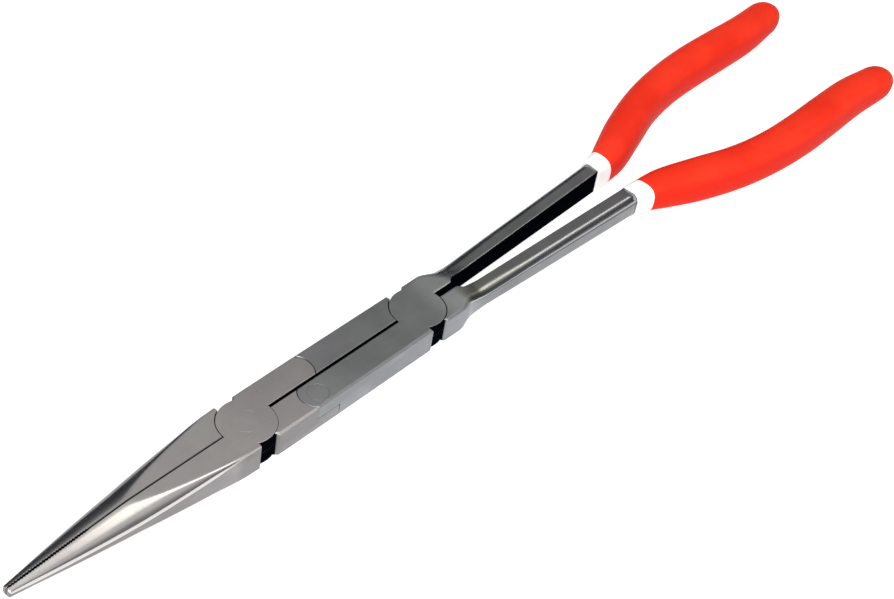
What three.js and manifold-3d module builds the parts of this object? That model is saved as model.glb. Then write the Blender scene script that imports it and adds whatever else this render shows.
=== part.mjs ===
// Long-reach double-joint needle-nose pliers: two jaws, two handle levers, four flush rivets,
// and a two-layer dipped grip on each handle. Millimetres, +Z up, +X from the jaws to the grips.
//
// Every "a" piece is the upper layer of its lap joints. Every "b" piece is the same forging
// turned half a turn about the long axis, which makes it the lower layer on the other side.

import * as THREE from "three";
import { mergeVertices } from "three/addons/utils/BufferGeometryUtils.js";
import Module from "manifold-3d";

const wasm = await Module();
wasm.setup();

// ---- driving dimensions ------------------------------------------------------------------

// Forged body. x = 0 is the front pivot, y = 0 the centreline, z = 0 the middle of the thickness.
const BODY_THICKNESS = 8.2;
const HALF_WIDTH = 8.75; // centreline to the outer edge of tails, arms and necks
const PIVOT_SPACING = 63.6; // front rivet to rear rivet
const DISC_RADIUS = 7.85; // round lap discs of both main joints
const LINK_X = 20.7;
const LINK_Y = 4.6;
const JAW_TONGUE_RADIUS = 5.9; // rounded end of a jaw tail, about the link rivet
const ARM_TONGUE_RADIUS = 5.4; // rounded end of a handle arm, about the link rivet
const RUNNING_GAP = 0.3; // between pieces that slide on each other
const SEAM_HALF_GAP = 0.15; // closed jaws, each side of the centreline
const ARM_INNER_EDGE = 0.4; // tails and arms, from the centreline

// Jaw nose.
const TIP_X = -74.8;
const TIP_HALF_WIDTH = 1.45;
const TIP_HALF_HEIGHT = 1.35;
const FLAT_START_X = -38; // the ground flat faces begin here at the seam
const NOSE_CONE_ASPECT = 2.2; // width over height of the polished nose cone
const NOSE_SHOULDER_X = -3;
const NOSE_BULGE = { x: -37, y: 7.7 }; // control point of the curved outer edge

// Shoulders beside the discs, as offsets from the pivot.
const TAIL_SHOULDER_INNER = { x: 2.5, y: 7.5 };
const TAIL_SHOULDER_OUTER_X = 3.3;
const ARM_SHOULDER_X = -3.1;
const NECK_SHOULDER_INNER = { x: 1.9, y: 7.5 };
const NECK_SHOULDER_OUTER_X = 3.1;

// Neck and handle bar of a handle lever: inner and outer edge, half thickness, outer edge radius.
const NECK_INNER_EDGE = 0.95;
const BAR_END_X = 149.3; // the dipped coats begin here
const BAR_STATIONS = [
  { x: 73.9, inner: 0.95, outer: 8.75, half: 4.1, edge: 0.4 },
  { x: 75.4, inner: 0.95, outer: 8.35, half: 4.1, edge: 0.8 },
  { x: 77, inner: 0.95, outer: 8.0, half: 4.1, edge: 1.2 },
  { x: 78.9, inner: 1.1, outer: 7.8, half: 3.65, edge: 1.6 },
  { x: 79.9, inner: 2.4, outer: 7.7, half: 3.42, edge: 1.8 },
  { x: 81, inner: 2.5, outer: 7.65, half: 3.24, edge: 1.9 },
  { x: BAR_END_X, inner: 4.9, outer: 10.55, half: 4.12, edge: 1.8 },
];
const CRISP_EDGE = 0.5; // inner edges of the bar

// Rivets: countersunk flush heads.
const MAIN_RIVET = { head: 3.7, shank: 2.9, sink: 1.1 };
const LINK_RIVET = { head: 2.9, shank: 2.2, sink: 0.9 };

// Grip: centreline, half width a, half thickness c and section power n at stations along it.
// A section is a superellipse: n = 2 is an ellipse, and a larger n is boxier.
const GRIP_STATIONS = [
  { x: BAR_END_X, y: 7.8, a: 3.75, c: 4.9, n: 4.5 },
  { x: 155.3, y: 8.3, a: 4.6, c: 5.1, n: 2.7 },
  { x: 163, y: 10.1, a: 5.6, c: 6.1, n: 2.4 },
  { x: 175, y: 14.4, a: 6.1, c: 6.65, n: 2.5 },
  { x: 190, y: 19.0, a: 6.0, c: 6.75, n: 2.5 },
  { x: 205, y: 21.5, a: 6.1, c: 6.75, n: 2.5 },
  { x: 220, y: 22.3, a: 6.35, c: 6.75, n: 2.5 },
  { x: 235, y: 22.1, a: 6.35, c: 6.7, n: 2.5 },
  { x: 250, y: 21.9, a: 6.2, c: 6.4, n: 2.4 },
  { x: 263, y: 22.9, a: 6.0, c: 5.6, n: 2.2 },
];
const GRIP_END = { x: 272, y: 23.8 };
const COLLAR_END_X = 155.2; // the outer coat begins here
const OUTER_COAT = 0.8;
const BASE_COAT = 0.6;
const SECTION_POINTS = 16;
const STATION_STEP = 7.5; // spacing of the lofted sections along the grip
const CAP_STEPS = 4; // sections that round off each closed end

// Steel tang inside the grip.
const TANG_HALF_HEIGHT = 4.4;
const TANG_HALF_WIDTH = 3.4;

const HALF = BODY_THICKNESS / 2;
const BEYOND = 1; // how far a cutter reaches past the surface it opens
const ARC_SEGMENTS = 14;
const RIVET_SEGMENTS = 20;
const ROUND_STEPS = 5; // facets on a rounded bar edge
const CONE_SEGMENTS = 40;

// ---- solids ------------------------------------------------------------------------------

function solid(geometry) {
  const bare = geometry.index ? geometry : geometry.clone();
  bare.deleteAttribute("normal");
  bare.deleteAttribute("uv");
  const merged = mergeVertices(bare, 1e-5);
  return new wasm.Manifold(new wasm.Mesh({
    numProp: 3,
    vertProperties: new Float32Array(merged.attributes.position.array),
    triVerts: new Uint32Array(merged.index.array),
  }));
}

function toGeometry(manifold) {
  const mesh = manifold.getMesh();
  const geometry = new THREE.BufferGeometry();
  geometry.setAttribute("position", new THREE.BufferAttribute(mesh.vertProperties, 3));
  geometry.setIndex(new THREE.BufferAttribute(mesh.triVerts, 1));
  geometry.computeVertexNormals();
  return geometry;
}

// A plan outline with its thickness from low to high.
function plate(shape, low, high) {
  const geometry = new THREE.ExtrudeGeometry(shape, {
    depth: high - low,
    bevelEnabled: false,
    curveSegments: ARC_SEGMENTS,
  });
  return solid(geometry.translate(0, 0, low));
}

function rodOnZ(x, y, radius, low, high, segments = 4 * ARC_SEGMENTS) {
  const geometry = new THREE.CylinderGeometry(radius, radius, high - low, segments);
  geometry.rotateX(Math.PI / 2);
  return solid(geometry.translate(x, y, (low + high) / 2));
}

function box(x0, x1, y0, y1, z0, z1) {
  const geometry = new THREE.BoxGeometry(x1 - x0, y1 - y0, z1 - z0);
  return solid(geometry.translate((x0 + x1) / 2, (y0 + y1) / 2, (z0 + z1) / 2));
}

// A closed skin over rings of points that all have the same number of points.
function loft(rings) {
  const count = rings[0].length;
  const points = rings.flat();
  const faces = [];
  for (let ring = 0; ring + 1 < rings.length; ring += 1) {
    for (let i = 0; i < count; i += 1) {
      const a = ring * count + i;
      const b = ring * count + (i + 1) % count;
      faces.push(a, b, a + count, b, b + count, a + count);
    }
  }
  const last = (rings.length - 1) * count;
  for (let i = 1; i + 1 < count; i += 1) {
    faces.push(0, i + 1, i, last, last + i, last + i + 1);
  }
  const geometry = new THREE.BufferGeometry().setFromPoints(points);
  geometry.setIndex(faces);
  return solid(geometry);
}

// ---- rivets ------------------------------------------------------------------------------

// A flush rivet on Z, or with extra > 0 the cavity that leaves that much room round it.
function rivet(size, x, y, extra = 0) {
  const end = HALF + (extra > 0 ? BEYOND : 0);
  const profile = [
    [0, -end],
    [size.head + extra, -end],
    [size.head + extra, -HALF],
    [size.shank + extra, -HALF + size.sink],
    [size.shank + extra, HALF - size.sink],
    [size.head + extra, HALF],
    [size.head + extra, end],
    [0, end],
  ];
  const distinct = profile.filter((p, i) => i === 0 || p[0] !== profile[i - 1][0] || p[1] !== profile[i - 1][1]);
  const geometry = new THREE.LatheGeometry(distinct.map(([r, z]) => new THREE.Vector2(r, z)), RIVET_SEGMENTS);
  geometry.rotateX(Math.PI / 2);
  return solid(geometry.translate(x, y, 0));
}

// ---- jaw ---------------------------------------------------------------------------------

// The nose tapers to the tip as a wide cone whose top and bottom are ground flat.
function noseSolid() {
  const plan = new THREE.Shape();
  plan.moveTo(TIP_X, -SEAM_HALF_GAP);
  plan.lineTo(TIP_X, -TIP_HALF_WIDTH);
  plan.quadraticCurveTo(NOSE_BULGE.x, -NOSE_BULGE.y, NOSE_SHOULDER_X, -HALF_WIDTH);
  plan.lineTo(NOSE_SHOULDER_X, -SEAM_HALF_GAP);
  const slope = (HALF - TIP_HALF_HEIGHT) / (FLAT_START_X - TIP_X);
  const start = TIP_X - BEYOND;
  const length = -start;
  const cone = new THREE.CylinderGeometry(
    TIP_HALF_HEIGHT - slope * TIP_X,
    TIP_HALF_HEIGHT + slope * (start - TIP_X),
    length,
    CONE_SEGMENTS,
  );
  cone.rotateZ(-Math.PI / 2);
  cone.scale(1, NOSE_CONE_ASPECT, 1);
  return plate(plan, -HALF, HALF).intersect(solid(cone.translate(start + length / 2, 0, 0)));
}

function tailSolid() {
  const reach = Math.sqrt(JAW_TONGUE_RADIUS ** 2 - (LINK_Y - ARM_INNER_EDGE) ** 2);
  const from = Math.atan2(ARM_INNER_EDGE - LINK_Y, reach);
  const to = Math.asin((HALF_WIDTH - LINK_Y) / JAW_TONGUE_RADIUS);
  const plan = new THREE.Shape();
  plan.moveTo(0, ARM_INNER_EDGE);
  plan.lineTo(LINK_X + reach, ARM_INNER_EDGE);
  plan.absarc(LINK_X, LINK_Y, JAW_TONGUE_RADIUS, from, to, false);
  plan.lineTo(TAIL_SHOULDER_OUTER_X, HALF_WIDTH);
  plan.lineTo(TAIL_SHOULDER_INNER.x, TAIL_SHOULDER_INNER.y);
  plan.lineTo(0, TAIL_SHOULDER_INNER.y);
  return plate(plan, -HALF, HALF);
}

// The lower layer is cut away round the other jaw's disc and round the arm's tongue.
function jawGeometry() {
  const lapBottom = -HALF - BEYOND;
  const lapTop = RUNNING_GAP / 2;
  const pivotRecess = rodOnZ(0, 0, DISC_RADIUS + RUNNING_GAP, lapBottom, lapTop);
  const linkRecess = rodOnZ(LINK_X, LINK_Y, ARM_TONGUE_RADIUS + RUNNING_GAP, lapBottom, lapTop)
    .add(box(LINK_X, LINK_X + HALF_WIDTH, -BEYOND, HALF_WIDTH + BEYOND, lapBottom, lapTop));
  const jaw = noseSolid()
    .add(tailSolid())
    .subtract(pivotRecess)
    .subtract(linkRecess)
    .add(rodOnZ(0, 0, DISC_RADIUS, lapTop, HALF))
    .subtract(rivet(MAIN_RIVET, 0, 0, RUNNING_GAP))
    .subtract(rivet(LINK_RIVET, LINK_X, LINK_Y, RUNNING_GAP));
  return toGeometry(jaw);
}

// ---- grip form ---------------------------------------------------------------------------

// The grip's outer form, as centre, tangent and half sizes at a distance x along the tool.
const gripCentre = new THREE.SplineCurve(GRIP_STATIONS.map((s) => new THREE.Vector2(s.x, s.y)));
const gripSize = new THREE.CatmullRomCurve3(
  GRIP_STATIONS.map((s) => new THREE.Vector3(s.a, s.c, s.n)),
  false,
  "catmullrom",
);
const LAST = GRIP_STATIONS[GRIP_STATIONS.length - 1];

// The spline's parameter where its centreline passes x, by bisection.
function parameterAt(x) {
  let low = 0;
  let high = 1;
  for (let step = 0; step < 40; step += 1) {
    const middle = (low + high) / 2;
    if (gripCentre.getPoint(middle).x < x) low = middle;
    else high = middle;
  }
  return (low + high) / 2;
}

function superellipse(angle, power) {
  const side = (value) => Math.sign(value) * Math.abs(value) ** (2 / power);
  return { across: side(Math.cos(angle)), up: side(Math.sin(angle)) };
}

// One section, square to the centreline at parameter t, with its half sizes given by sizes(t).
function gripRing(t, sizes, advance = 0, shrink = 1) {
  const centre = gripCentre.getPoint(t);
  const tangent = gripCentre.getTangent(t);
  const { a, c, n } = sizes(t);
  const ring = [];
  for (let i = 0; i < SECTION_POINTS; i += 1) {
    const { across, up } = superellipse((2 * Math.PI * (i + 0.5)) / SECTION_POINTS, n);
    ring.push(new THREE.Vector3(
      centre.x + tangent.x * advance - tangent.y * across * a * shrink,
      centre.y + tangent.y * advance + tangent.x * across * a * shrink,
      up * c * shrink,
    ));
  }
  return ring;
}

// Sections from parameter t0 to the last station, then a rounded closed end capLength long.
function gripRings(t0, sizes, capLength) {
  const x0 = gripCentre.getPoint(t0).x;
  const count = Math.round((LAST.x - x0) / STATION_STEP);
  const rings = [];
  for (let i = 0; i <= count; i += 1) {
    rings.push(gripRing(parameterAt(x0 + ((LAST.x - x0) * i) / count), sizes));
  }
  for (let i = 1; i <= CAP_STEPS; i += 1) {
    const angle = (Math.PI / 2) * (i / (CAP_STEPS + 0.35));
    rings.push(gripRing(1, sizes, capLength * Math.sin(angle), Math.cos(angle)));
  }
  return rings;
}

const END_LENGTH = Math.hypot(GRIP_END.x - LAST.x, GRIP_END.y - LAST.y);

// Half sizes of the outer form, taken in by inset.
function formSizes(inset) {
  return (t) => {
    const size = gripSize.getPoint(t);
    return { a: size.x - inset, c: size.y - inset, n: size.z };
  };
}

const BASE_INSET = OUTER_COAT + RUNNING_GAP;
const TANG_INSET = BASE_INSET + BASE_COAT + RUNNING_GAP;

// Half sizes of the steel tang, let out by extra.
function tangSizes(extra) {
  return (t) => {
    const { a, c, n } = formSizes(TANG_INSET)(t);
    return { a: Math.min(a, TANG_HALF_WIDTH) + extra, c: Math.min(c, TANG_HALF_HEIGHT) + extra, n };
  };
}

// ---- handle lever ------------------------------------------------------------------------

// One section of the bar, let out by extra: crisp inner edges, rounded outer edges.
function barRing({ x, inner, outer, half, edge }, extra = 0) {
  const far = outer + extra - edge;
  const near = inner - extra + CRISP_EDGE;
  const high = half + extra;
  const corners = [
    { y: far, z: high - edge, r: edge, start: 90, steps: ROUND_STEPS },
    { y: far, z: edge - high, r: edge, start: 0, steps: ROUND_STEPS },
    { y: near, z: CRISP_EDGE - high, r: CRISP_EDGE, start: -90, steps: 1 },
    { y: near, z: high - CRISP_EDGE, r: CRISP_EDGE, start: -180, steps: 1 },
  ];
  const ring = [];
  for (const { y, z, r, start, steps } of corners) {
    for (let i = 0; i <= steps; i += 1) {
      const angle = THREE.MathUtils.degToRad(start - (90 * i) / steps);
      ring.push(new THREE.Vector3(x, y + r * Math.cos(angle), z + r * Math.sin(angle)));
    }
  }
  return ring.reverse();
}

const BAR_LAST = BAR_STATIONS[BAR_STATIONS.length - 1];

function barSolid() {
  const rings = BAR_STATIONS.map((station) => barRing(station));
  return loft([...rings, barRing({ ...BAR_LAST, x: BAR_END_X + BEYOND })]);
}

function tangSolid() {
  const start = parameterAt(BAR_END_X + BEYOND / 2);
  return loft(gripRings(start, tangSizes(0), END_LENGTH - TANG_INSET));
}

function armSolid() {
  const reach = Math.sqrt(ARM_TONGUE_RADIUS ** 2 - (LINK_Y - ARM_INNER_EDGE) ** 2);
  const from = Math.PI - Math.atan2(LINK_Y - ARM_INNER_EDGE, reach);
  const to = Math.PI + Math.asin((HALF_WIDTH - LINK_Y) / ARM_TONGUE_RADIUS);
  const endX = PIVOT_SPACING + ARM_SHOULDER_X;
  const plan = new THREE.Shape();
  plan.moveTo(PIVOT_SPACING, -ARM_INNER_EDGE);
  plan.lineTo(LINK_X - reach, -ARM_INNER_EDGE);
  plan.absarc(LINK_X, -LINK_Y, ARM_TONGUE_RADIUS, from, to, false);
  plan.lineTo(endX, -HALF_WIDTH);
  plan.lineTo(endX, -DISC_RADIUS / 2);
  plan.lineTo(PIVOT_SPACING, -DISC_RADIUS / 2);
  return plate(plan, -HALF, HALF);
}

function neckSolid() {
  const neckEnd = BAR_STATIONS[0];
  const plan = new THREE.Shape();
  plan.moveTo(PIVOT_SPACING, NECK_INNER_EDGE);
  plan.lineTo(neckEnd.x, NECK_INNER_EDGE);
  plan.lineTo(neckEnd.x, HALF_WIDTH);
  plan.lineTo(PIVOT_SPACING + NECK_SHOULDER_OUTER_X, HALF_WIDTH);
  plan.lineTo(PIVOT_SPACING + NECK_SHOULDER_INNER.x, NECK_SHOULDER_INNER.y);
  plan.lineTo(PIVOT_SPACING, NECK_SHOULDER_INNER.y);
  return plate(plan, -HALF, HALF);
}

function handleGeometry() {
  const lapBottom = -HALF - BEYOND;
  const lapTop = RUNNING_GAP / 2;
  const pivotRecess = rodOnZ(PIVOT_SPACING, 0, DISC_RADIUS + RUNNING_GAP, lapBottom, lapTop);
  const linkRecess = rodOnZ(LINK_X, -LINK_Y, JAW_TONGUE_RADIUS + RUNNING_GAP, lapBottom, lapTop)
    .add(box(LINK_X - HALF_WIDTH, LINK_X, -HALF_WIDTH - BEYOND, BEYOND, lapBottom, lapTop));
  const handle = armSolid()
    .add(neckSolid())
    .subtract(pivotRecess)
    .subtract(linkRecess)
    .add(rodOnZ(PIVOT_SPACING, 0, DISC_RADIUS, lapTop, HALF))
    .subtract(rivet(MAIN_RIVET, PIVOT_SPACING, 0, RUNNING_GAP))
    .subtract(rivet(LINK_RIVET, LINK_X, -LINK_Y, RUNNING_GAP))
    .add(barSolid())
    .add(tangSolid());
  return toGeometry(handle);
}

// ---- dipped coats ------------------------------------------------------------------------

// The base coat's outer skin: flush with the outer coat along the collar, under it beyond.
function baseCoatSkin(extra) {
  const step = 0.2;
  const stepEnd = parameterAt(COLLAR_END_X + step);
  const collar = [BAR_END_X, (BAR_END_X + COLLAR_END_X) / 2, COLLAR_END_X - step]
    .map((x) => gripRing(parameterAt(x), formSizes(0)));
  const rear = gripRings(stepEnd, formSizes(BASE_INSET - extra), END_LENGTH - BASE_INSET + extra);
  return { collar, rear };
}

function baseCoatGeometry() {
  const { collar, rear } = baseCoatSkin(0);
  const mouth = gripRing(0, tangSizes(RUNNING_GAP), -BEYOND);
  const bore = gripRings(0, tangSizes(RUNNING_GAP), END_LENGTH - TANG_INSET + RUNNING_GAP);
  const barBore = loft([
    barRing({ ...BAR_LAST, x: BAR_END_X - BEYOND }, RUNNING_GAP),
    barRing({ ...BAR_LAST, x: BAR_END_X + 2 * BEYOND }, RUNNING_GAP),
  ]);
  return toGeometry(loft([...collar, ...rear]).subtract(loft([mouth, ...bore])).subtract(barBore));
}

function outerCoatGeometry() {
  const start = parameterAt(COLLAR_END_X + RUNNING_GAP);
  const skin = loft(gripRings(start, formSizes(0), END_LENGTH));
  const { rear } = baseCoatSkin(RUNNING_GAP);
  const mouth = gripRing(start, formSizes(OUTER_COAT), -BEYOND);
  return toGeometry(skin.subtract(loft([mouth, ...rear])));
}

// ---- materials ---------------------------------------------------------------------------

const forgedSteel = new THREE.MeshStandardMaterial({ color: 0x8d8b88, metalness: 1, roughness: 0.35 });
const rivetSteel = new THREE.MeshStandardMaterial({ color: 0x9b9996, metalness: 1, roughness: 0.3 });
const whiteCoat = new THREE.MeshStandardMaterial({ color: 0xf4f2ee, metalness: 0, roughness: 0.45 });
const redCoat = new THREE.MeshStandardMaterial({ color: 0xf5361f, metalness: 0, roughness: 0.4 });

// ---- assembly ----------------------------------------------------------------------------

function piece(name, geometry, material, turned = false) {
  const mesh = new THREE.Mesh(geometry, material);
  mesh.name = name;
  if (turned) mesh.rotation.x = Math.PI;
  return mesh;
}

const jaw = jawGeometry();
const handle = handleGeometry();
const baseCoat = baseCoatGeometry();
const outerCoat = outerCoatGeometry();
const mainRivet = toGeometry(rivet(MAIN_RIVET, 0, 0));
const linkRivet = toGeometry(rivet(LINK_RIVET, 0, 0));

const tool = new THREE.Group();
tool.add(
  piece("jaw_a", jaw, forgedSteel),
  piece("jaw_b", jaw, forgedSteel, true),
  piece("handle_lever_a", handle, forgedSteel),
  piece("handle_lever_b", handle, forgedSteel, true),
  piece("base_coat_a", baseCoat, whiteCoat),
  piece("base_coat_b", baseCoat, whiteCoat, true),
  piece("grip_a", outerCoat, redCoat),
  piece("grip_b", outerCoat, redCoat, true),
);

const rivets = [
  { name: "front_pivot_rivet", geometry: mainRivet, x: 0, y: 0 },
  { name: "rear_pivot_rivet", geometry: mainRivet, x: PIVOT_SPACING, y: 0 },
  { name: "upper_link_rivet", geometry: linkRivet, x: LINK_X, y: LINK_Y },
  { name: "lower_link_rivet", geometry: linkRivet, x: LINK_X, y: -LINK_Y },
];
for (const { name, geometry, x, y } of rivets) {
  const mesh = piece(name, geometry, rivetSteel);
  mesh.position.set(x, y, 0);
  tool.add(mesh);
}

// The origin is the middle of the tool's length, on the plane that its grips rest on.
const bounds = new THREE.Box3().setFromObject(tool);
tool.position.set(-(bounds.min.x + bounds.max.x) / 2, 0, -bounds.min.z);

const pliers = new THREE.Group();
pliers.add(tool);

export default pliers;
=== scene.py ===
"""Long-reach double-joint needle-nose pliers on a pale studio floor.

The pieces are made in millimetres in the tool's own frame: x = 0 is the front pivot, y = 0 the
centreline, z = 0 the middle of the thickness, +X runs to the grips. "a" pieces are the upper
layer of the lap joints, and "b" pieces are the same shapes turned half a turn about X.
"""

import math

import bmesh
import bpy
import numpy as np
from mathutils import Matrix, Vector


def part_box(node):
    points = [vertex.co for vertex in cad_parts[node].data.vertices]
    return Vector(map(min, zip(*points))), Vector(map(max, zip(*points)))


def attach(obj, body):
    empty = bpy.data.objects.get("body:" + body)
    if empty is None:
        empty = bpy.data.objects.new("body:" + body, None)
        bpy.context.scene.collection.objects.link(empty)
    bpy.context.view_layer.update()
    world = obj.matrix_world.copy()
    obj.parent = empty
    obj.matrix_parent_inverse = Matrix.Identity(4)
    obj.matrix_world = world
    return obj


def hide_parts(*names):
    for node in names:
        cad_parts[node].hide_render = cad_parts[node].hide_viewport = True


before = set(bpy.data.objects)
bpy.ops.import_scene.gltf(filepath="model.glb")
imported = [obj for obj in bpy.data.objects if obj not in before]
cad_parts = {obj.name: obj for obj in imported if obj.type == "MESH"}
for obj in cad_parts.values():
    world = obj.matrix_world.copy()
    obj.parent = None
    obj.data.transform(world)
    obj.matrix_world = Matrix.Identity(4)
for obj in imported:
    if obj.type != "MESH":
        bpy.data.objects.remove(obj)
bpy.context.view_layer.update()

# ---- dimensions, in millimetres ------------------------------------------------------------

HALF = 4.1  # half the forged thickness
HALF_WIDTH = 8.75
REAR_X = 63.6
DISC_R = 7.85
LINK_X, LINK_Y = 20.7, 4.6
JAW_TONGUE_R = 5.9
ARM_TONGUE_R = 5.4
LAP_GAP = 0.12  # between the two layers of a lap joint
ARC_GAP = 0.22  # round a disc
TONGUE_GAP = 0.16  # round a link tongue
RIVET_GAP = 0.005  # round the rivets in their countersinks
OPEN_RIVET_GAP = 0.07  # and round the one whose circle shows
INNER_EDGE = 0.4  # from the centreline to the inner edge of a tail or an arm
SEAM = 0.15  # closed jaws, each side of the centreline
RIM = 0.2  # radius of the broken edges
OUTER_RIM = 0.75  # and of the worn ones along the outer sides of the joints

MAIN_RIVET = (3.7, 2.9, 1.1)  # head radius, shank radius, countersink depth
LINK_RIVET = (2.9, 2.2, 0.9)

TIP_X, TIP_W, TIP_H = -74.8, 1.45, 1.35  # the tip's place, half width and half thickness
NOSE_BULGE = (-37.0, 7.7)  # the point that the nose's outer edge bends toward
FLAT_X = -39.5  # the ground flats begin here at the seam
SHOULDER_X = -3.0
TEETH_END = -50.0
TOOTH = 0.8  # pitch of the serration

BAR_END = 149.3  # the white coat begins
COLLAR_END = 155.2  # the red coat begins
BAR_START = 81  # the bars are straight from here
GRIP = [  # x, y of the centreline, half width, half thickness, section power
    (149.3, 7.8, 3.75, 4.9, 4.5),
    (155.3, 8.3, 4.6, 5.1, 2.7),
    (163, 10.1, 5.6, 6.1, 2.4),
    (175, 14.4, 6.1, 6.65, 2.5),
    (190, 19.0, 6.0, 6.75, 2.5),
    (205, 21.5, 6.1, 6.75, 2.5),
    (220, 22.3, 6.35, 6.75, 2.5),
    (235, 22.1, 6.35, 6.7, 2.5),
    (250, 21.9, 6.2, 6.4, 2.4),
    (263, 22.9, 6.0, 5.6, 2.2),
]
GRIP_TIP = (271.97, 23.8)
TRIM = 0.14  # the coats are drawn this much inside the CAD shells

# Where the tool's own frame lies in the CAD frame.
low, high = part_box("front_pivot_rivet")
ORIGIN = (low + high) / 2
TO_FRAME = Matrix.Translation(ORIGIN) @ Matrix.Scale(0.001, 4)
TURNED = Matrix.Rotation(math.pi, 4, "X")


# ---- mesh tools ----------------------------------------------------------------------------

def smooth(t):
    t = min(1.0, max(0.0, t))
    return t * t * (3 - 2 * t)


def mix(a, b, t):
    return a + (b - a) * t


def new_object(name, verts, faces):
    mesh = bpy.data.meshes.new(name)
    mesh.from_pydata([tuple(v) for v in verts], [], faces)
    mesh.update()
    obj = bpy.data.objects.new(name, mesh)
    bpy.context.scene.collection.objects.link(obj)
    return obj


def orient(obj):
    bm = bmesh.new()
    bm.from_mesh(obj.data)
    bmesh.ops.recalc_face_normals(bm, faces=bm.faces)
    bm.to_mesh(obj.data)
    bm.free()
    return obj


def loft(name, rings):
    """A closed skin over rings with the same number of points."""
    count = len(rings[0])
    verts = [p for ring in rings for p in ring]
    faces = []
    for r in range(len(rings) - 1):
        for i in range(count):
            a, b = r * count + i, r * count + (i + 1) % count
            faces.append((a, b, b + count, a + count))
    faces.append(tuple(reversed(range(count))))
    faces.append(tuple(range((len(rings) - 1) * count, len(rings) * count)))
    return orient(new_object(name, verts, faces))


def offset(outline, distance):
    """The outline taken in by distance, mitred."""
    area = sum(p.x * q.y - q.x * p.y for p, q in zip(outline, outline[1:] + outline[:1]))
    sign = 1 if area > 0 else -1
    out = []
    for i, p in enumerate(outline):
        a = (p - outline[i - 1]).normalized()
        b = (outline[(i + 1) % len(outline)] - p).normalized()
        na, nb = Vector((-a.y, a.x)), Vector((-b.y, b.x))
        out.append(p + (na + nb) * (sign * distance / (1 + na.dot(nb))))
    return out


def prism(name, outline, low, high, rim_low=RIM, rim_high=RIM, outer=0.0):
    """A plate with its rims broken by a quarter round.

    With outer, the rims along the tool's outer sides have that radius.
    """
    steps = 4
    fade = 1.5  # from the outer sides inward
    inward = [q - p for p, q in zip(outline, offset(outline, 1.0))]
    wide = [smooth((abs(p.y) - HALF_WIDTH + fade) / fade) if outer else 0.0 for p in outline]
    following = [(i + 1) % len(outline) for i in range(len(outline))]
    for _ in range(40):  # narrower wherever the outline taken in would fold over
        faces = [p + q * mix(rim_high, outer, w) for p, q, w in zip(outline, inward, wide)]
        folded = [i for i, j in enumerate(following)
                  if (faces[j] - faces[i]).dot(outline[j] - outline[i]) <= 0]
        for i in folded:
            wide[i] *= 0.85
            wide[following[i]] *= 0.85
    rings = []
    for rim, face, way in ((rim_low, low, 1), (rim_high, high, -1)):
        turns = [math.pi / 2 * k / steps for k in range(steps + 1)] if rim else [math.pi / 2]
        for a in turns if way > 0 else reversed(turns):
            ring = []
            for p, q, w in zip(outline, inward, wide):
                size = mix(rim, outer, w)
                across = q * (size * (1 - math.sin(a)))
                level = face + way * size * (1 - math.cos(a)) if rim else face
                ring.append((p.x + across.x, p.y + across.y, level))
            rings.append(ring)
    return loft(name, rings)


def circle(radius, count):
    turns = [2 * math.pi * i / count for i in range(count)]
    return [(radius * math.cos(a), radius * math.sin(a)) for a in turns]


def turned_solid(name, x, y, profile, count=160):
    """A solid of revolution on Z at x, y. The profile is (radius, z) from bottom to top."""
    return loft(name, [[(x + px, y + py, z) for px, py in circle(r, count)] for r, z in profile])


def box(name, x0, x1, y0, y1, z0, z1):
    outline = [Vector((x0, y0)), Vector((x1, y0)), Vector((x1, y1)), Vector((x0, y1))]
    return prism(name, outline, z0, z1, 0, 0)


def combine(base, tool, operation):
    """Booleans the tool into the base, and removes the tool."""
    modifier = base.modifiers.new("cut", "BOOLEAN")
    modifier.operation = operation
    modifier.solver = "MANIFOLD"
    modifier.object = tool
    depsgraph = bpy.context.evaluated_depsgraph_get()
    mesh = bpy.data.meshes.new_from_object(base.evaluated_get(depsgraph))
    base.modifiers.clear()
    old = base.data
    base.data = mesh
    bpy.data.meshes.remove(old)
    old = tool.data
    bpy.data.objects.remove(tool)
    bpy.data.meshes.remove(old)
    return base


def place(obj, name):
    """Puts a finished solid into the CAD frame, and shades it smooth with crisp corners."""
    obj.name = name
    obj.data.name = name
    obj.data.transform(TO_FRAME)
    bm = bmesh.new()
    bm.from_mesh(obj.data)
    bmesh.ops.remove_doubles(bm, verts=bm.verts, dist=2e-7)
    bmesh.ops.dissolve_degenerate(bm, edges=bm.edges, dist=1e-7)
    bm.to_mesh(obj.data)
    bm.free()
    obj.data.shade_smooth()
    obj.data.set_sharp_from_angle(angle=math.radians(38))
    weighted = obj.modifiers.new("weighted", "WEIGHTED_NORMAL")
    weighted.keep_sharp = True
    weighted.weight = 60
    return obj


def twin(obj, name):
    """The same piece turned half a turn about the tool's long axis."""
    other = obj.copy()
    other.data = obj.data.copy()
    bpy.context.scene.collection.objects.link(other)
    other.name = name
    other.data.name = name
    other.data.transform(TO_FRAME @ TURNED @ TO_FRAME.inverted())
    return other


# ---- rivets --------------------------------------------------------------------------------

def rivet(name, size, x, y, edge):
    """Countersunk at both ends and ground flush. The edge is how far its rims are broken."""
    head, shank, sink = size
    flat = head - 0.6
    profile = [
        (flat, -HALF),
        (head - edge, -HALF + edge * 0.1),
        (head, -HALF + edge),
        (shank, -HALF + sink),
        (shank, HALF - sink),
        (head, HALF - edge),
        (head - edge, HALF - edge * 0.1),
        (flat, HALF),
    ]
    return turned_solid(name, x, y, profile, 128)


def rivet_hole(size, x, y, gap=RIVET_GAP):
    """Cuts the rivet's hole, and a way out above and below it."""
    head, shank, sink = size
    profile = [
        (head + gap, -HALF - 1),
        (head + gap, -HALF),
        (shank + gap, -HALF + sink),
        (shank + gap, HALF - sink),
        (head + gap, HALF),
        (head + gap, HALF + 1),
    ]
    return turned_solid("hole", x, y, profile, 128)


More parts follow.
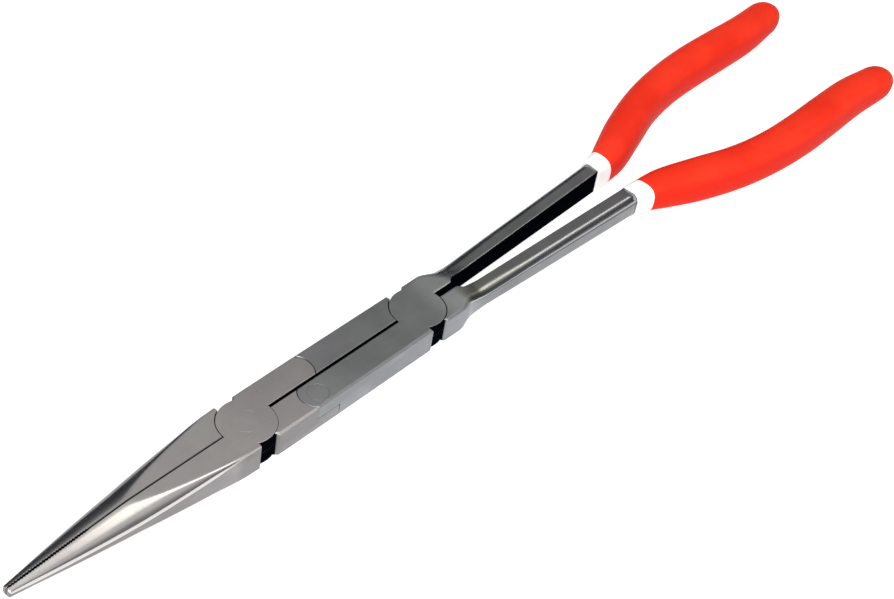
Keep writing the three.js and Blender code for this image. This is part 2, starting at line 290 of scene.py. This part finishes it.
def lap_cutter(x, y, radius):
    """Clears the lower layer round a disc or a tongue, with its lower rim chamfered."""
    chamfer = 0.06
    profile = [
        (radius + chamfer + 1, -HALF - 1),
        (radius + chamfer, -HALF),
        (radius, -HALF + chamfer),
        (radius, LAP_GAP / 2),
    ]
    return turned_solid("lap", x, y, profile)


# ---- jaw -----------------------------------------------------------------------------------

def nose_width(x):
    """Outer edge of the nose: one curve from the tip to the shoulder, bulging outward."""
    x0, x1, x2 = TIP_X, NOSE_BULGE[0], SHOULDER_X
    a, b, c = x0 - 2 * x1 + x2, 2 * (x1 - x0), x0 - x
    t = (-b + math.sqrt(b * b - 4 * a * c)) / (2 * a) if abs(a) > 1e-9 else -c / b
    return (1 - t) ** 2 * TIP_W + 2 * t * (1 - t) * NOSE_BULGE[1] + t * t * HALF_WIDTH


def nose_top(x, y):
    """Height of the top: a domed taper, ground flat where it would stand above full height."""
    along = (x - TIP_X) / (FLAT_X - TIP_X)
    height = TIP_H + (HALF - TIP_H) * along
    width = nose_width(x)
    fall = min(2.6, 0.42 * width)
    across = y / width
    dome = height - fall * (0.76 * across ** 2 + 0.24 * across ** 6)
    blend = 0.06  # softens the line where the dome meets the flat
    if abs(dome - HALF) > 12 * blend:
        return min(dome, HALF)
    return HALF - blend * math.log(1 + math.exp((HALF - dome) / blend))


def nose_ring(x, width, seam):
    """A section of the nose, from the seam outward. Its outer edge is broken in facets."""
    chamfer = 0.13 * min(1.0, width / 3)
    edge = 0.5 * min(1.0, width / 2.4)
    edge = mix(edge, 0.16, smooth((x + 19) / 9))
    start, corner = seam + chamfer, width - edge
    steps = 25
    top = [(y, nose_top(x, y)) for y in (mix(start, corner, i / steps) for i in range(steps + 1))]
    step = 0.02
    slope = (nose_top(x, corner + step) - nose_top(x, corner - step)) / (2 * step)
    tilt = math.degrees(math.atan(-slope))
    # Each facet's lean in degrees, and its share of the edge.
    facets = [(mix(tilt, 62, 0.5), 0.1), (61, 0.1), (66, 0.3), (70, 0.35), (78, 0.1), (86, 0.1)]
    facets = [(math.radians(lean), size) for lean, size in facets]
    scale = edge / sum(size * math.cos(lean) for lean, size in facets)
    arc = []
    y, z = top[-1]
    for lean, size in facets:
        y += scale * size * math.cos(lean)
        z -= scale * size * math.sin(lean)
        arc.append((y, z))
    upper = [(seam, nose_top(x, start) - chamfer)] + top + arc
    ring = upper + [(y, -z) for y, z in reversed(upper)]
    return [(x, -y, z) for y, z in ring]


def tooth(x):
    """Depth of the serration at x."""
    if x > TEETH_END:
        return 0.0
    return 0.1 * (1 - math.cos(2 * math.pi * (x - TIP_X) / TOOTH)) * smooth((TEETH_END - x) / 2)


def nose():
    """Rounded at the tip and the shoulder, serrated along the seam near the tip."""
    rings = []
    for advance, inset in ((0.0, 0.34), (0.07, 0.17), (0.2, 0.05), (0.4, 0.0)):
        x = TIP_X + advance
        ring = nose_ring(x, nose_width(x) - inset, SEAM)
        rings.append([(px, py, pz * (1 - inset / TIP_H)) for px, py, pz in ring])
    x = TIP_X + TOOTH
    while x < TEETH_END:
        rings.append(nose_ring(x, nose_width(x), SEAM + tooth(x)))
        x += TOOTH / 6
    while x < SHOULDER_X - 0.3:
        rings.append(nose_ring(x, nose_width(x), SEAM))
        x += 0.75
    for x, inset in ((SHOULDER_X - 0.3, 0.0), (SHOULDER_X - 0.08, 0.1), (SHOULDER_X, 0.3)):
        rings.append(nose_ring(x, nose_width(x) - inset, SEAM))
    return loft("nose", rings)


def arc_points(cx, cy, radius, start, end):
    step = 0.25
    count = max(4, int(abs(end - start) * radius / step))
    turns = [mix(start, end, k / count) for k in range(count + 1)]
    return [(cx + radius * math.cos(a), cy + radius * math.sin(a)) for a in turns]


def tail():
    """From the front joint back to the round tongue of the link joint."""
    reach = math.sqrt(JAW_TONGUE_R ** 2 - (LINK_Y - INNER_EDGE) ** 2)
    start = math.atan2(INNER_EDGE - LINK_Y, reach)
    end = math.asin((HALF_WIDTH - LINK_Y) / JAW_TONGUE_R)
    outline = [
        (1.0, INNER_EDGE),
        *arc_points(LINK_X, LINK_Y, JAW_TONGUE_R, start, end),
        (3.3, HALF_WIDTH),
        (2.5, 7.5),
        (1.0, 7.0),
    ]
    return prism("tail", [Vector(p) for p in outline], -HALF, HALF, outer=OUTER_RIM)


def make_jaw():
    """jaw_a: full thickness, cut to its upper layer where it laps the other jaw or an arm."""
    jaw = combine(nose(), tail(), "UNION")
    combine(jaw, lap_cutter(-0.09, 0, DISC_R + 0.13), "DIFFERENCE")
    combine(jaw, lap_cutter(LINK_X, LINK_Y, ARM_TONGUE_R + TONGUE_GAP), "DIFFERENCE")
    combine(jaw, box("clear", LINK_X, LINK_X + 9, -1, 10, -HALF - 1, LAP_GAP / 2), "DIFFERENCE")
    disc = [Vector(p) for p in circle(DISC_R, 200)]
    combine(jaw, prism("disc", disc, LAP_GAP / 2, HALF, 0, 0.14), "UNION")
    combine(jaw, rivet_hole(MAIN_RIVET, 0, 0), "DIFFERENCE")
    combine(jaw, rivet_hole(LINK_RIVET, LINK_X, LINK_Y), "DIFFERENCE")
    return jaw


# ---- handle lever --------------------------------------------------------------------------

def spline(table, x, column):
    """Smooth interpolation through the table's stations."""
    xs = [row[0] for row in table]
    vs = [row[column] for row in table]
    i = max(0, min(len(xs) - 2, int(np.searchsorted(xs, x)) - 1))

    def slope(k):
        if k == 0:
            return (vs[1] - vs[0]) / (xs[1] - xs[0])
        if k == len(xs) - 1:
            return (vs[k] - vs[k - 1]) / (xs[k] - xs[k - 1])
        return (vs[k + 1] - vs[k - 1]) / (xs[k + 1] - xs[k - 1])

    span = xs[i + 1] - xs[i]
    t = (x - xs[i]) / span
    return ((2 * t ** 3 - 3 * t ** 2 + 1) * vs[i] + (t ** 3 - 2 * t ** 2 + t) * span * slope(i)
            + (-2 * t ** 3 + 3 * t ** 2) * vs[i + 1] + (t ** 3 - t ** 2) * span * slope(i + 1))


def bar_outer(x):
    if x < 66.7:
        return mix(7.45, HALF_WIDTH, smooth((x - 65.4) / 1.25))
    bar = mix(7.65, 10.55, (x - BAR_START) / (BAR_END - BAR_START))
    return mix(HALF_WIDTH, bar, smooth((x - 72.8) / 6))


def bar_inner(x):
    bar = mix(2.5, 4.9, (x - BAR_START) / (BAR_END - BAR_START))
    return mix(0.95, bar, smooth((x - 77.9) / 2.2))


def bar_top(x, y):
    """Height of the top: the joint's ground flat, then the drawn bar beyond a curved edge."""
    bar = mix(3.24, 4.12, (x - BAR_START) / (BAR_END - BAR_START))
    edge = 78.6 - 0.09 * y * y
    return mix(HALF, bar, smooth((x - edge) / 8.5))


def bar_ring(x, inset=0.0):
    """A section of the bar: crisp along the inner edge, broadly rounded along the outer one."""
    inner, outer = bar_inner(x) + inset, bar_outer(x) - inset
    crisp = 0.25
    edge = mix(0.75, 3.0, smooth((x - 72) / 8)) - 0.7 * smooth((x - 85) / 20)
    deep = mix(0.75, 1.9, smooth((x - 72) / 8)) + 0.8 * smooth((x - 90) / 50)
    upper = []
    z = bar_top(x, inner + crisp) - inset
    for k in range(5):
        a = math.pi / 2 * k / 4
        upper.append((inner + crisp * (1 - math.cos(a)), z - crisp * (1 - math.sin(a))))
    for k in range(1, 14):
        y = mix(inner + crisp, outer - edge, k / 14)
        upper.append((y, bar_top(x, y) - inset))
    z = bar_top(x, outer - edge) - inset
    for k in range(13):
        a = math.pi / 2 * k / 12
        upper.append((outer - edge * (1 - math.sin(a)), z - deep * (1 - math.cos(a))))
    return [(x, y, z) for y, z in upper] + [(x, y, -z) for y, z in reversed(upper)]


def grip_frame(x):
    """A point of the grip's centreline, and its direction there."""
    y = spline(GRIP, x, 1)
    step = 0.05
    slope = (spline(GRIP, x + step, 1) - spline(GRIP, x - step, 1)) / (2 * step)
    angle = mix(-0.05, math.atan(slope), smooth((x - 153) / 12))  # dipped square to the bar
    return Vector((x, y)), Vector((math.cos(angle), math.sin(angle)))


def grip_ring(x, inset=0.0, advance=0.0, shrink=1.0, count=72, cap=None):
    """A section square to the grip's centreline. The cap is its largest half width and height."""
    centre, tangent = grip_frame(x)
    a, c, n = (spline(GRIP, x, k) for k in (2, 3, 4))
    a, c = a - inset - TRIM, c - inset - TRIM
    if cap:
        a, c = min(a, cap[0]), min(c, cap[1])
    ring = []
    for i in range(count):
        angle = 2 * math.pi * (i + 0.5) / count
        ca, sa = math.cos(angle), math.sin(angle)
        across = math.copysign(abs(ca) ** (2 / n), ca) * a * shrink
        up = math.copysign(abs(sa) ** (2 / n), sa) * c * shrink
        ring.append((
            centre.x + tangent.x * advance - tangent.y * across,
            centre.y + tangent.y * advance + tangent.x * across,
            up,
        ))
    return ring


CAP = math.hypot(GRIP_TIP[0] - GRIP[-1][0], GRIP_TIP[1] - GRIP[-1][1])
END_X = GRIP[-1][0]


def grip_rings(x0, step, inset=0.0, caps=12, **more):
    """Sections from x0 to the grip's rounded end."""
    count = max(2, round((END_X - x0) / step))
    rings = [grip_ring(mix(x0, END_X, k / count), inset, **more) for k in range(count + 1)]
    for k in range(1, caps + 1):
        a = math.pi / 2 * k / (caps + 0.4)
        rings.append(grip_ring(END_X, inset, (CAP - inset) * math.sin(a), math.cos(a), **more))
    return rings


def bar():
    """The neck beside the rear joint and the drawn bar, with its end inside the coats."""
    stations = [64.0, 65.0, 65.4]
    stations += [65.4 + 1.25 * k / 6 for k in range(1, 7)]
    stations += [67.5 + 0.5 * k for k in range(30)]
    stations += [83 + 2.2 * k for k in range(31)]
    rings = [bar_ring(x) for x in stations if x < BAR_END + 2]
    rings.append(bar_ring(BAR_END + 2.0, 0.5))
    rings.append(bar_ring(BAR_END + 2.4, 1.3))
    return loft("bar", rings)


def tang():
    """The steel core of the grip."""
    size = {"count": 24, "cap": (3.4, 4.4)}
    rings = [grip_ring(BAR_END + 0.6, 1.9, shrink=0.6, **size)]
    return loft("tang", rings + grip_rings(BAR_END + 1, 6, 1.9, caps=4, **size))


def arm():
    """From the rear joint forward to the round tongue of the link joint."""
    reach = math.sqrt(ARM_TONGUE_R ** 2 - (LINK_Y - INNER_EDGE) ** 2)
    start = math.pi - math.atan2(LINK_Y - INNER_EDGE, reach)
    end = math.pi + math.asin((HALF_WIDTH - LINK_Y) / ARM_TONGUE_R)
    outline = [
        (REAR_X, -INNER_EDGE),
        *arc_points(LINK_X, -LINK_Y, ARM_TONGUE_R, start, end),
        (REAR_X - 3.1, -HALF_WIDTH),
        (REAR_X - 3.1, -5.0),
        (REAR_X, -5.0),
    ]
    return prism("arm", [Vector(p) for p in outline], -HALF, HALF, outer=OUTER_RIM)


def make_lever():
    """handle_lever_a: its arm lies below the centreline, and its bar and tang above."""
    lever = combine(arm(), bar(), "UNION")
    combine(lever, lap_cutter(REAR_X, 0, DISC_R + ARC_GAP), "DIFFERENCE")
    combine(lever, lap_cutter(LINK_X, -LINK_Y, JAW_TONGUE_R + TONGUE_GAP), "DIFFERENCE")
    combine(lever, box("clear", LINK_X - 9, LINK_X, -10, 1, -HALF - 1, LAP_GAP / 2), "DIFFERENCE")
    disc = [Vector((REAR_X + px, py)) for px, py in circle(DISC_R, 200)]
    combine(lever, prism("disc", disc, LAP_GAP / 2, HALF, 0, 0.14), "UNION")
    combine(lever, rivet_hole(MAIN_RIVET, REAR_X, 0), "DIFFERENCE")
    combine(lever, rivet_hole(LINK_RIVET, LINK_X, -LINK_Y, OPEN_RIVET_GAP), "DIFFERENCE")
    combine(lever, tang(), "UNION")
    return lever


# ---- dipped coats --------------------------------------------------------------------------

COAT_POINTS = 96  # in each section


def lip(x, radius):
    """Rings that round a coat's mouth, from the mouth's flat face at x to its outer skin."""
    steps = 5
    turns = [math.pi / 2 * k / steps for k in range(steps, -1, -1)]
    return [grip_ring(x, radius * (1 - math.cos(a)), radius * (1 - math.sin(a)), count=COAT_POINTS)
            for a in turns]


def base_coat():
    """White: full size as a collar, then thinner under the red coat."""
    count = COAT_POINTS
    step = COLLAR_END + 0.05
    rings = lip(BAR_END, 0.45)
    rings += [grip_ring(mix(BAR_END + 0.5, COLLAR_END, k / 10), count=count) for k in range(11)]
    rings += [grip_ring(step, 0.35, count=count), grip_ring(step + 0.2, 0.82, count=count)]
    rings += grip_rings(step + 1, 3, 0.82, caps=6, count=count)
    outer = loft("base", rings)
    fit = 0.02  # round the bar
    bore = [bar_ring(BAR_END + x, inset) for x, inset in ((-2, -fit), (2.2, -fit), (2.7, 1.3))]
    combine(outer, loft("bore", bore), "DIFFERENCE")
    size = {"count": 48, "cap": (3.5, 4.5)}
    pocket = [grip_ring(BAR_END + 0.6, 1.8, shrink=0.6, **size)]
    pocket += grip_rings(BAR_END + 1.0, 4, 1.8, caps=4, **size)
    return combine(outer, loft("pocket", pocket), "DIFFERENCE")


def red_coat():
    """Red: over the white coat, from the collar to the end."""
    count = COAT_POINTS
    wall = 0.78
    mouth = COLLAR_END + 0.12
    rings = [grip_ring(mouth, wall, count=count)] + lip(mouth, 0.22)
    rings += [grip_ring(x, count=count) for x in (mouth + 0.3, mouth + 0.8)]
    rings += grip_rings(mouth + 1.6, 1.25, 0, caps=16, count=count)
    pocket = [grip_ring(mouth, wall, -1.0, count=count)]
    pocket += grip_rings(mouth, 3, wall, caps=6, count=count)
    return combine(loft("red", rings), loft("pocket", pocket), "DIFFERENCE")


# ---- materials -----------------------------------------------------------------------------

class Nodes:
    """A short way to write a node material."""

    def __init__(self, name):
        self.material = bpy.data.materials.new(name)
        self.material.use_nodes = True
        self.tree = self.material.node_tree
        self.shader = self.tree.nodes["Principled BSDF"]
        coordinates = self.tree.nodes.new("ShaderNodeTexCoord")
        self.place = coordinates.outputs["Object"]
        self.normal = coordinates.outputs["Normal"]

    def link(self, value, socket):
        if hasattr(value, "is_linked"):
            self.tree.links.new(value, socket)
        else:
            socket.default_value = value

    def shade(self, **inputs):
        """Sets the shader's sockets, with spaces for underscores."""
        for key, value in inputs.items():
            self.link(value, self.shader.inputs[key.replace("_", " ")])

    def math(self, operation, *values):
        node = self.tree.nodes.new("ShaderNodeMath")
        node.operation = operation
        for socket, value in zip(node.inputs, values):
            self.link(value, socket)
        return node.outputs[0]

    def product(self, first, *others):
        for value in others:
            first = self.math("MULTIPLY", first, value)
        return first

    def split(self, vector):
        node = self.tree.nodes.new("ShaderNodeSeparateXYZ")
        self.link(vector, node.inputs[0])
        return node.outputs

    def scaled(self, x, y, z):
        node = self.tree.nodes.new("ShaderNodeMapping")
        self.link(self.place, node.inputs["Vector"])
        node.inputs["Scale"].default_value = (x, y, z)
        return node.outputs[0]

    def noise(self, vector, scale, detail=3.0, roughness=0.5):
        node = self.tree.nodes.new("ShaderNodeTexNoise")
        self.link(vector, node.inputs["Vector"])
        node.inputs["Scale"].default_value = scale
        node.inputs["Detail"].default_value = detail
        node.inputs["Roughness"].default_value = roughness
        return node.outputs[0]

    def ramp(self, value, low, high, start=0.0, end=1.0):
        node = self.tree.nodes.new("ShaderNodeMapRange")
        node.interpolation_type = "SMOOTHSTEP"
        for socket, number in zip(node.inputs, (value, low, high, start, end)):
            self.link(number, socket)
        return node.outputs[0]

    def mix(self, factor, a, b, blend="MIX"):
        node = self.tree.nodes.new("ShaderNodeMix")
        node.data_type = "RGBA"
        node.blend_type = blend
        self.link(factor, node.inputs[0])
        self.link(a, node.inputs[6])
        self.link(b, node.inputs[7])
        return node.outputs[2]

    def bump(self, height, strength, distance, normal=None):
        node = self.tree.nodes.new("ShaderNodeBump")
        node.inputs["Strength"].default_value = strength
        node.inputs["Distance"].default_value = distance
        self.link(height, node.inputs["Height"])
        if normal is not None:
            self.link(normal, node.inputs["Normal"])
        return node.outputs[0]

    def gray(self, value):
        node = self.tree.nodes.new("ShaderNodeCombineColor")
        for socket in node.inputs:
            self.link(value, socket)
        return node.outputs[0]


def times(color, red, green, blue):
    """A colour with each channel scaled."""
    return (color[0] * red, color[1] * green, color[2] * blue, 1)


def brushed(n, light, dark):
    """Clouds and long streaks between two greys, with faint green and mauve patches."""
    cloud = n.noise(n.place, 70.0, 4.0, 0.6)
    streak = n.noise(n.scaled(160, 1300, 1300), 1.0, 4.0, 0.65)
    tone = n.math("ADD", n.product(cloud, 0.6), n.product(streak, 0.4))
    color = n.mix(n.ramp(tone, 0.36, 0.64), (*dark, 1), (*light, 1))
    hue = n.noise(n.place, 30.0, 2.0)
    color = n.mix(n.ramp(hue, 0.5, 0.65, 0.0, 0.5), color, times(light, 1.01, 0.96, 1.02))
    color = n.mix(n.ramp(hue, 0.5, 0.38, 0.0, 0.5), color, times(light, 0.94, 1.0, 0.95))
    return color, cloud


def painted_gap_shade_mask(n, x, y, up, outward):
    """Where painted shade goes: faces that look at the centreline between the pieces, and the
    walls round both main joints.
    """
    inward = n.ramp(outward, -0.55, -0.8)
    walls = n.ramp(up, 0.5, 0.3)
    near = 0.0
    for centre in (ORIGIN.x, ORIGIN.x + REAR_X / 1000):
        across = n.math("SUBTRACT", x, centre)
        radius = n.math("SQRT", n.math("ADD", n.product(across, across), n.product(y, y)))
        near = n.math("MAXIMUM", near, n.ramp(radius, 0.0087, 0.0083))
    return n.product(walls, n.math("MAXIMUM", inward, near))


def steel(name, light, dark, rough, shine, wall, lever=False):
    """Ground forged steel: brushed flats, darker forged sides, and painted shade in the gaps, on
    +Y facets and along the turns.

    Light and dark are the flats' greys, rough their roughness, shine how much smoother the
    nose and the bars are, and wall how dark the sides are.
    """
    n = Nodes(name)
    x, y, _ = n.split(n.place)
    facing = n.split(n.normal)

    def along(start, end, low=0.0, high=1.0):
        """Changes along the tool, between millimetres from the front pivot."""
        return n.ramp(x, ORIGIN.x + start / 1000, ORIGIN.x + end / 1000, low, high)

    up = n.math("ABSOLUTE", facing[2])
    outward = n.product(n.math("SIGN", y), facing[1])
    side = n.ramp(up, 0.3, 0.24)
    turn = n.ramp(up, 0.1, 0.17)
    slant = n.ramp(n.math("ABSOLUTE", facing[1]), 0.03, 0.16)
    body = n.product(along(-13, -8), along(79, 75))  # between the nose and the bars
    edge = n.product(body, slant, n.ramp(outward, 0.0, 0.2))

    color, cloud = brushed(n, light, dark)
    if lever:
        neck = n.product(along(64, 73), along(88, 77))
        tone = n.math("ADD", along(22, 42, 1.16, 1.0), n.product(neck, 0.6))
        side_scale_along = along(70, 90, 1.0, 0.57)
    else:
        tone = along(3, 25, 1.0, 0.92)
        side_scale_along = along(-35, 12, 0.84, 1.14)
    color = n.mix(1.0, color, n.gray(tone), "MULTIPLY")
    # Painted shade: the outward rounded edges between the nose and the bars are darkened a little
    # to damp their highlight.
    color = n.mix(edge, color, times(light, 0.85, 0.85, 0.86))

    # The forged sides, and painted shade: a thin dark line where the nose and the bars turn into
    # them.
    patchy = n.ramp(n.noise(n.scaled(60, 160, 160), 1.0, 4.0, 0.6), 0.35, 0.7, 0.9, 1.12)
    plain = times(light, wall, wall, wall * 1.03)
    line = n.mix(body, times(light, 0.3, 0.28, 0.25), plain)
    # The sides' colour is also scaled along the tool, darker toward the bars on the levers and
    # toward the tip on the jaws.
    forged = n.mix(1.0, n.mix(turn, plain, line), n.gray(n.product(patchy, side_scale_along)), "MULTIPLY")
    color = n.mix(side, color, forged)

    # Painted shade: facets that lean to +Y are darkened, standing in for the dim surroundings they
    # reflect.
    shaded = n.product(n.ramp(facing[1], 0.3, 0.6), n.math("SUBTRACT", 1.0, side))
    color = n.mix(shaded, color, times(light, 0.3, 0.3, 0.32))
    if lever:
        drawn = n.product(along(77, 86), n.math("SUBTRACT", 1.0, slant), n.ramp(up, 0.9, 0.97))
        color = n.mix(n.product(drawn, 0.16), color, (0, 0, 0, 1))
        heat = n.product(along(75.5, 78.5), along(100, 80), n.ramp(cloud, 0.3, 0.6, 0.25, 0.8),
                         n.ramp(up, 0.3, 0.6), n.ramp(y, 0.001, -0.001))
        color = n.mix(heat, color, times(light, 0.72, 0.69, 0.58))
    # Painted shade: faces between the pieces and round the joints' recesses turn near black and
    # non-metallic.
    painted_gap_shade = painted_gap_shade_mask(n, x, y, up, outward)
    color = n.mix(painted_gap_shade, color, (0.0015, 0.002, 0.0035, 1))

    fine = n.noise(n.place, 2200.0, 3.0, 0.65)
    wear = n.math("ADD", n.product(fine, 0.5), n.product(cloud, 0.5))
    roughness = n.ramp(wear, 0.3, 0.7, rough - 0.04, rough + 0.06)
    polished = n.product(slant, n.math("SUBTRACT", 1.0, body), shine)
    roughness = n.math("SUBTRACT", roughness, polished)
    roughness = n.math("ADD", roughness, n.product(edge, 0.3))
    grain = n.noise(n.scaled(500, 4500, 4500), 1.0, 3.0, 0.55)
    n.shade(Base_Color=color, Metallic=n.math("SUBTRACT", 1.0, painted_gap_shade),
            Roughness=n.math("ADD", roughness, n.product(painted_gap_shade, 0.2)),
            Specular_IOR_Level=0.0, Normal=n.bump(grain, 0.1, 0.00002))
    return n.material


def dipped(name, color, deep, rough):
    """Dip-coated vinyl: faint orange peel, a soft gloss, and painted shade: a deeper colour on the
    sides, mixed with cloudy mottling.
    """
    n = Nodes(name)
    cloud = n.noise(n.place, 60.0, 3.0)
    peel = n.noise(n.place, 700.0, 2.0)
    fine = n.noise(n.place, 2500.0, 2.0)
    # Painted shade: the colour deepens where the normal leans away from up; the cloud adds random
    # mottling.
    tone = n.product(n.ramp(cloud, 0.3, 0.7, 0.35, 1.0), n.ramp(n.split(n.normal)[2], 0.1, 0.7))
    n.shade(Base_Color=n.mix(tone, (*deep, 1), (*color, 1)),
            Roughness=n.ramp(fine, 0.3, 0.7, rough - 0.04, rough + 0.05),
            Normal=n.bump(fine, 0.1, 0.00003, n.bump(peel, 0.12, 0.00008)),
            Specular_IOR_Level=0.3, IOR=1.16)
    return n.material


JAW_GREYS = (0.645, 0.625, 0.61), (0.6, 0.58, 0.565)
JAW_RIVET_GREYS = (0.65, 0.63, 0.615), (0.605, 0.585, 0.57)
LEVER_GREYS = (0.385, 0.395, 0.403), (0.345, 0.355, 0.362)
JAW_STEEL = steel("jaw_steel", *JAW_GREYS, 0.31, 0.13, 0.41)
LEVER_STEEL = steel("lever_steel", *LEVER_GREYS, 0.33, 0.09, 0.85, lever=True)
RIVET_JAW = steel("jaw_rivet_steel", *JAW_RIVET_GREYS, 0.31, 0.1, 0.43)
RIVET_LEVER = steel("lever_rivet_steel", *LEVER_GREYS, 0.33, 0.1, 0.8, lever=True)
# The second colour of each coat is its painted shade on the sides.
WHITE = dipped("white_dip", (0.97, 0.97, 0.965), (0.95, 0.95, 0.945), 0.45)
RED = dipped("red_dip", (0.88, 0.042, 0.018), (0.72, 0.022, 0.009), 0.5)


# ---- the pieces ----------------------------------------------------------------------------

def finish_piece(obj, node, body, material):
    """Gives a piece its material and its body, and hides the CAD node that it stands for."""
    obj.data.materials.clear()
    obj.data.materials.append(material)
    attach(obj, body)
    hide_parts(node)
    return obj


def pair(obj, names, nodes, bodies, material):
    """The "a" piece, and its twin as the "b" piece."""
    first = place(obj, names[0])
    second = twin(first, names[1])
    finish_piece(first, nodes[0], bodies[0], material)
    finish_piece(second, nodes[1], bodies[1], material)


HANDLES = ("handle_a", "handle_b")
pair(make_jaw(), ("jaw_upper_layer", "jaw_lower_layer"), ("jaw_a", "jaw_b"),
     ("jaw_a", "jaw_b"), JAW_STEEL)
pair(make_lever(), ("lever_upper_layer", "lever_lower_layer"),
     ("handle_lever_a", "handle_lever_b"), HANDLES, LEVER_STEEL)
pair(base_coat(), ("white_dip_a", "white_dip_b"), ("base_coat_a", "base_coat_b"),
     HANDLES, WHITE)
pair(red_coat(), ("red_dip_a", "red_dip_b"), ("grip_a", "grip_b"), HANDLES, RED)

RIVETS = [  # node, body, size, x, y, broken edge, material
    ("front_pivot_rivet", "jaw_a", MAIN_RIVET, 0, 0, 0.015, RIVET_JAW),
    ("rear_pivot_rivet", "handle_b", MAIN_RIVET, REAR_X, 0, 0.006, RIVET_LEVER),
    ("upper_link_rivet", "handle_b", LINK_RIVET, LINK_X, LINK_Y, 0.004, RIVET_JAW),
    ("lower_link_rivet", "handle_a", LINK_RIVET, LINK_X, -LINK_Y, 0.03, RIVET_LEVER),
]
for node, body, size, x, y, edge, metal in RIVETS:
    piece = place(rivet(node, size, x, y, edge), node + "_fine")
    finish_piece(piece, node, body, metal)


# ---- studio --------------------------------------------------------------------------------

def make_floor():
    """Pale paper on a lit table, so that shadows stay pale."""
    size = 4
    corners = [(-size, -size, 0), (size, -size, 0), (size, size, 0), (-size, size, 0)]
    floor = new_object("floor", corners, [(0, 1, 2, 3)])
    floor.location.z = -0.0002
    n = Nodes("floor_paper")
    n.shade(Base_Color=n.mix(n.noise(n.place, 3.0), (0.42, 0.42, 0.42, 1), (0.44, 0.44, 0.44, 1)),
            Emission_Color=(1, 1, 1, 1), Emission_Strength=0.8,
            Roughness=0.9, Specular_IOR_Level=0.1)
    floor.data.materials.append(n.material)


def make_light(name, azimuth, elevation, distance, width, height, radiance, color):
    """A softbox that faces the tool. Azimuth 0 is toward +X, 90 toward +Y."""
    data = bpy.data.lights.new(name, "AREA")
    data.shape = "RECTANGLE"
    data.size, data.size_y = width, height
    data.energy = radiance * math.pi * width * height
    data.color = color
    light = bpy.data.objects.new(name, data)
    bpy.context.scene.collection.objects.link(light)
    a, e = math.radians(azimuth), math.radians(elevation)
    way = Vector((math.cos(a) * math.cos(e), math.sin(a) * math.cos(e), math.sin(e)))
    light.location = way * distance
    light.rotation_euler = way.to_track_quat("Z", "Y").to_euler()


def make_world():
    """A soft dome: dim near the horizon, bright overhead, with a grey wall on two sides."""
    world = bpy.data.worlds.new("studio")
    bpy.context.scene.world = world
    world.use_nodes = True
    tree = world.node_tree
    background = tree.nodes["Background"]
    coordinates = tree.nodes.new("ShaderNodeTexCoord")
    split = tree.nodes.new("ShaderNodeSeparateXYZ")
    tree.links.new(coordinates.outputs["Generated"], split.inputs[0])
    dome = tree.nodes.new("ShaderNodeValToRGB")
    tree.links.new(split.outputs["Z"], dome.inputs["Fac"])
    stops = [  # sine of the elevation, colour
        (0.0, (0.035, 0.04, 0.05)),
        (0.45, (0.04, 0.043, 0.052)),
        (0.6, (0.09, 0.092, 0.095)),
        (0.7, (0.22, 0.22, 0.22)),
        (0.8, (0.58, 0.57, 0.56)),
        (1.0, (0.72, 0.72, 0.72)),
    ]
    elements = dome.color_ramp.elements
    while len(elements) < len(stops):
        elements.new(0.5)
    for element, (position, color) in zip(elements, stops):
        element.position = position
        element.color = (*color, 1)

    def math_node(operation, *values):
        node = tree.nodes.new("ShaderNodeMath")
        node.operation = operation
        for socket, value in zip(node.inputs, values):
            if hasattr(value, "is_linked"):
                tree.links.new(value, socket)
            else:
                socket.default_value = value
        return node.outputs[0]

    # The wall stands where X, or X with most of Y, is below zero.
    slanted = math_node("MULTIPLY_ADD", split.outputs["Y"], 0.8, split.outputs["X"])
    behind = tree.nodes.new("ShaderNodeMapRange")
    tree.links.new(math_node("MINIMUM", split.outputs["X"], slanted), behind.inputs["Value"])
    behind.inputs["From Min"].default_value = 0.2
    behind.inputs["From Max"].default_value = -0.1
    lighten = tree.nodes.new("ShaderNodeMix")
    lighten.data_type = "RGBA"
    lighten.blend_type = "LIGHTEN"
    tree.links.new(behind.outputs[0], lighten.inputs[0])
    tree.links.new(dome.outputs["Color"], lighten.inputs[6])
    lighten.inputs[7].default_value = (0.2, 0.205, 0.21, 1)
    tree.links.new(lighten.outputs[2], background.inputs["Color"])
    background.inputs["Strength"].default_value = 1.0


def make_camera():
    """At the photograph's angle, with its roll."""
    data = bpy.data.cameras.new("camera")
    data.sensor_width = 36
    data.lens = 75.4
    data.clip_start, data.clip_end = 0.01, 20
    camera = bpy.data.objects.new("camera", data)
    bpy.context.scene.collection.objects.link(camera)
    eye = ORIGIN + Vector((-0.236150, -0.217832, 0.348319))
    target = ORIGIN + Vector((0.075823, -0.000497, 0.0))
    view = (target - eye).to_track_quat("-Z", "Y")
    camera.location = eye
    camera.rotation_mode = "QUATERNION"
    roll = Matrix.Rotation(math.radians(10.333), 4, "Z")
    camera.rotation_quaternion = view @ roll.to_quaternion()
    bpy.context.scene.camera = camera


make_floor()
make_world()
make_light("key", 0, 75, 1.1, 0.6, 0.24, 1.9, (1.0, 0.945, 0.88))
make_light("strip", 0, 51, 1.1, 0.32, 0.2, 2.8, (1.0, 0.93, 0.84))
make_light("fill", 215, 46, 1.3, 1.0, 1.0, 6.2, (1.0, 1.0, 1.0))
make_camera()
bpy.context.scene.view_settings.view_transform = "Standard"
